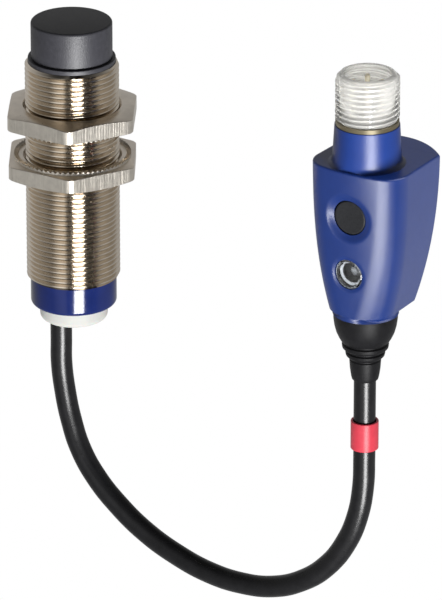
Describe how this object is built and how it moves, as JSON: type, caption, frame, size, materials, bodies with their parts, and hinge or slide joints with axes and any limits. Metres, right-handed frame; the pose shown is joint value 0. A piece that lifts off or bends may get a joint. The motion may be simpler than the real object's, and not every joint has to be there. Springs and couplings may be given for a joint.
{
  "type": "proximity sensor",
  "caption": "Threaded inductive proximity sensor with two hexagon nuts, on a short cable to a plug-in teach unit with a push button.",
  "frame": {"origin": "on the barrel axis, midway between the two nuts, where the mounting bracket sits", "axes": "+Z along the barrel towards the sensing face; the teach unit hangs towards +X and -Y with its nose up"},
  "size_m": [0.0814, 0.0638, 0.114],
  "materials": {
    "nickel": "turned, nickel plated",
    "nut_nickel": "drawn flats, nickel plated",
    "cap_black": "fine moulded grain",
    "ferrite": "sintered",
    "natural_plastic": "moulded",
    "copper": "enamelled wire",
    "black_plastic": "moulded",
    "board_green": "solder mask",
    "chip_black": "moulded",
    "led_body": "clear epoxy",
    "ring_blue": "polished",
    "ivory_plastic": "translucent, satin",
    "seal_rubber": "moulded",
    "core_wire": "insulated wire",
    "cable_black": "extruded jacket, satin",
    "marker_red": "moulded",
    "boot_rubber": "moulded, matt",
    "housing_blue": "fine spark grain, satin",
    "clear_plastic": "clear moulded plastic",
    "seat_metal": "turned",
    "carrier_plastic": "moulded",
    "pin_gold": "gold plated",
    "grey_plastic": "moulded",
    "button_grey": "grained",
    "clear_lens": "clear lens"
  },
  "bodies": {
    "root": {"barrel": "nickel", "sensing_cap": "cap_black", "ferrite_core": "ferrite", "coil_bobbin": "natural_plastic", "coil_winding": "copper", "core_carrier": "black_plastic", "sensor_board": "board_green", "sensor_board_parts": "chip_black", "status_leds": "led_body", "colour_ring": "ring_blue", "rear_cap": "ivory_plastic", "cable_seal": "seal_rubber", "sensor_cable_cores": "core_wire", "cable_jacket": "cable_black", "strain_relief_boot": "boot_rubber", "cable_clamp": "natural_plastic", "connector_cable_cores": "core_wire", "connector_housing": "housing_blue", "housing_back_cover": "housing_blue", "nose_shell": "clear_plastic", "nose_seat_ring": "seat_metal", "contact_carrier": "carrier_plastic", "contact_pins": "pin_gold", "connector_board": "board_green", "connector_board_parts": "chip_black", "switch_body": "chip_black", "led_lens": "clear_lens", "teach_led": "led_body"},
    "front_nut": {"front_nut": "nut_nickel"},
    "rear_nut": {"rear_nut": "nut_nickel"},
    "marker": {"marker_ring": "marker_red"},
    "button": {"button_cap": "button_grey", "switch_plunger": "grey_plastic"}
  },
  "joints": [
    {"name": "front_nut_slide", "type": "slide", "parent": "root", "child": "front_nut", "axis": [0, 0, 1], "range_m": [-0.0026, 0.0084]},
    {"name": "rear_nut_slide", "type": "slide", "parent": "root", "child": "rear_nut", "axis": [0, 0, 1], "range_m": [-0.021, 0.0026]},
    {"name": "marker_slide", "type": "slide", "parent": "root", "child": "marker", "axis": [0, 0, 1], "range_m": [-0.003, 0.0075]},
    {"name": "button_press", "type": "slide", "parent": "root", "child": "button", "axis": [0.5373, 0.8434, 0], "range_m": [0, 0.0004], "stiffness_N_per_m": 4000}
  ]
}
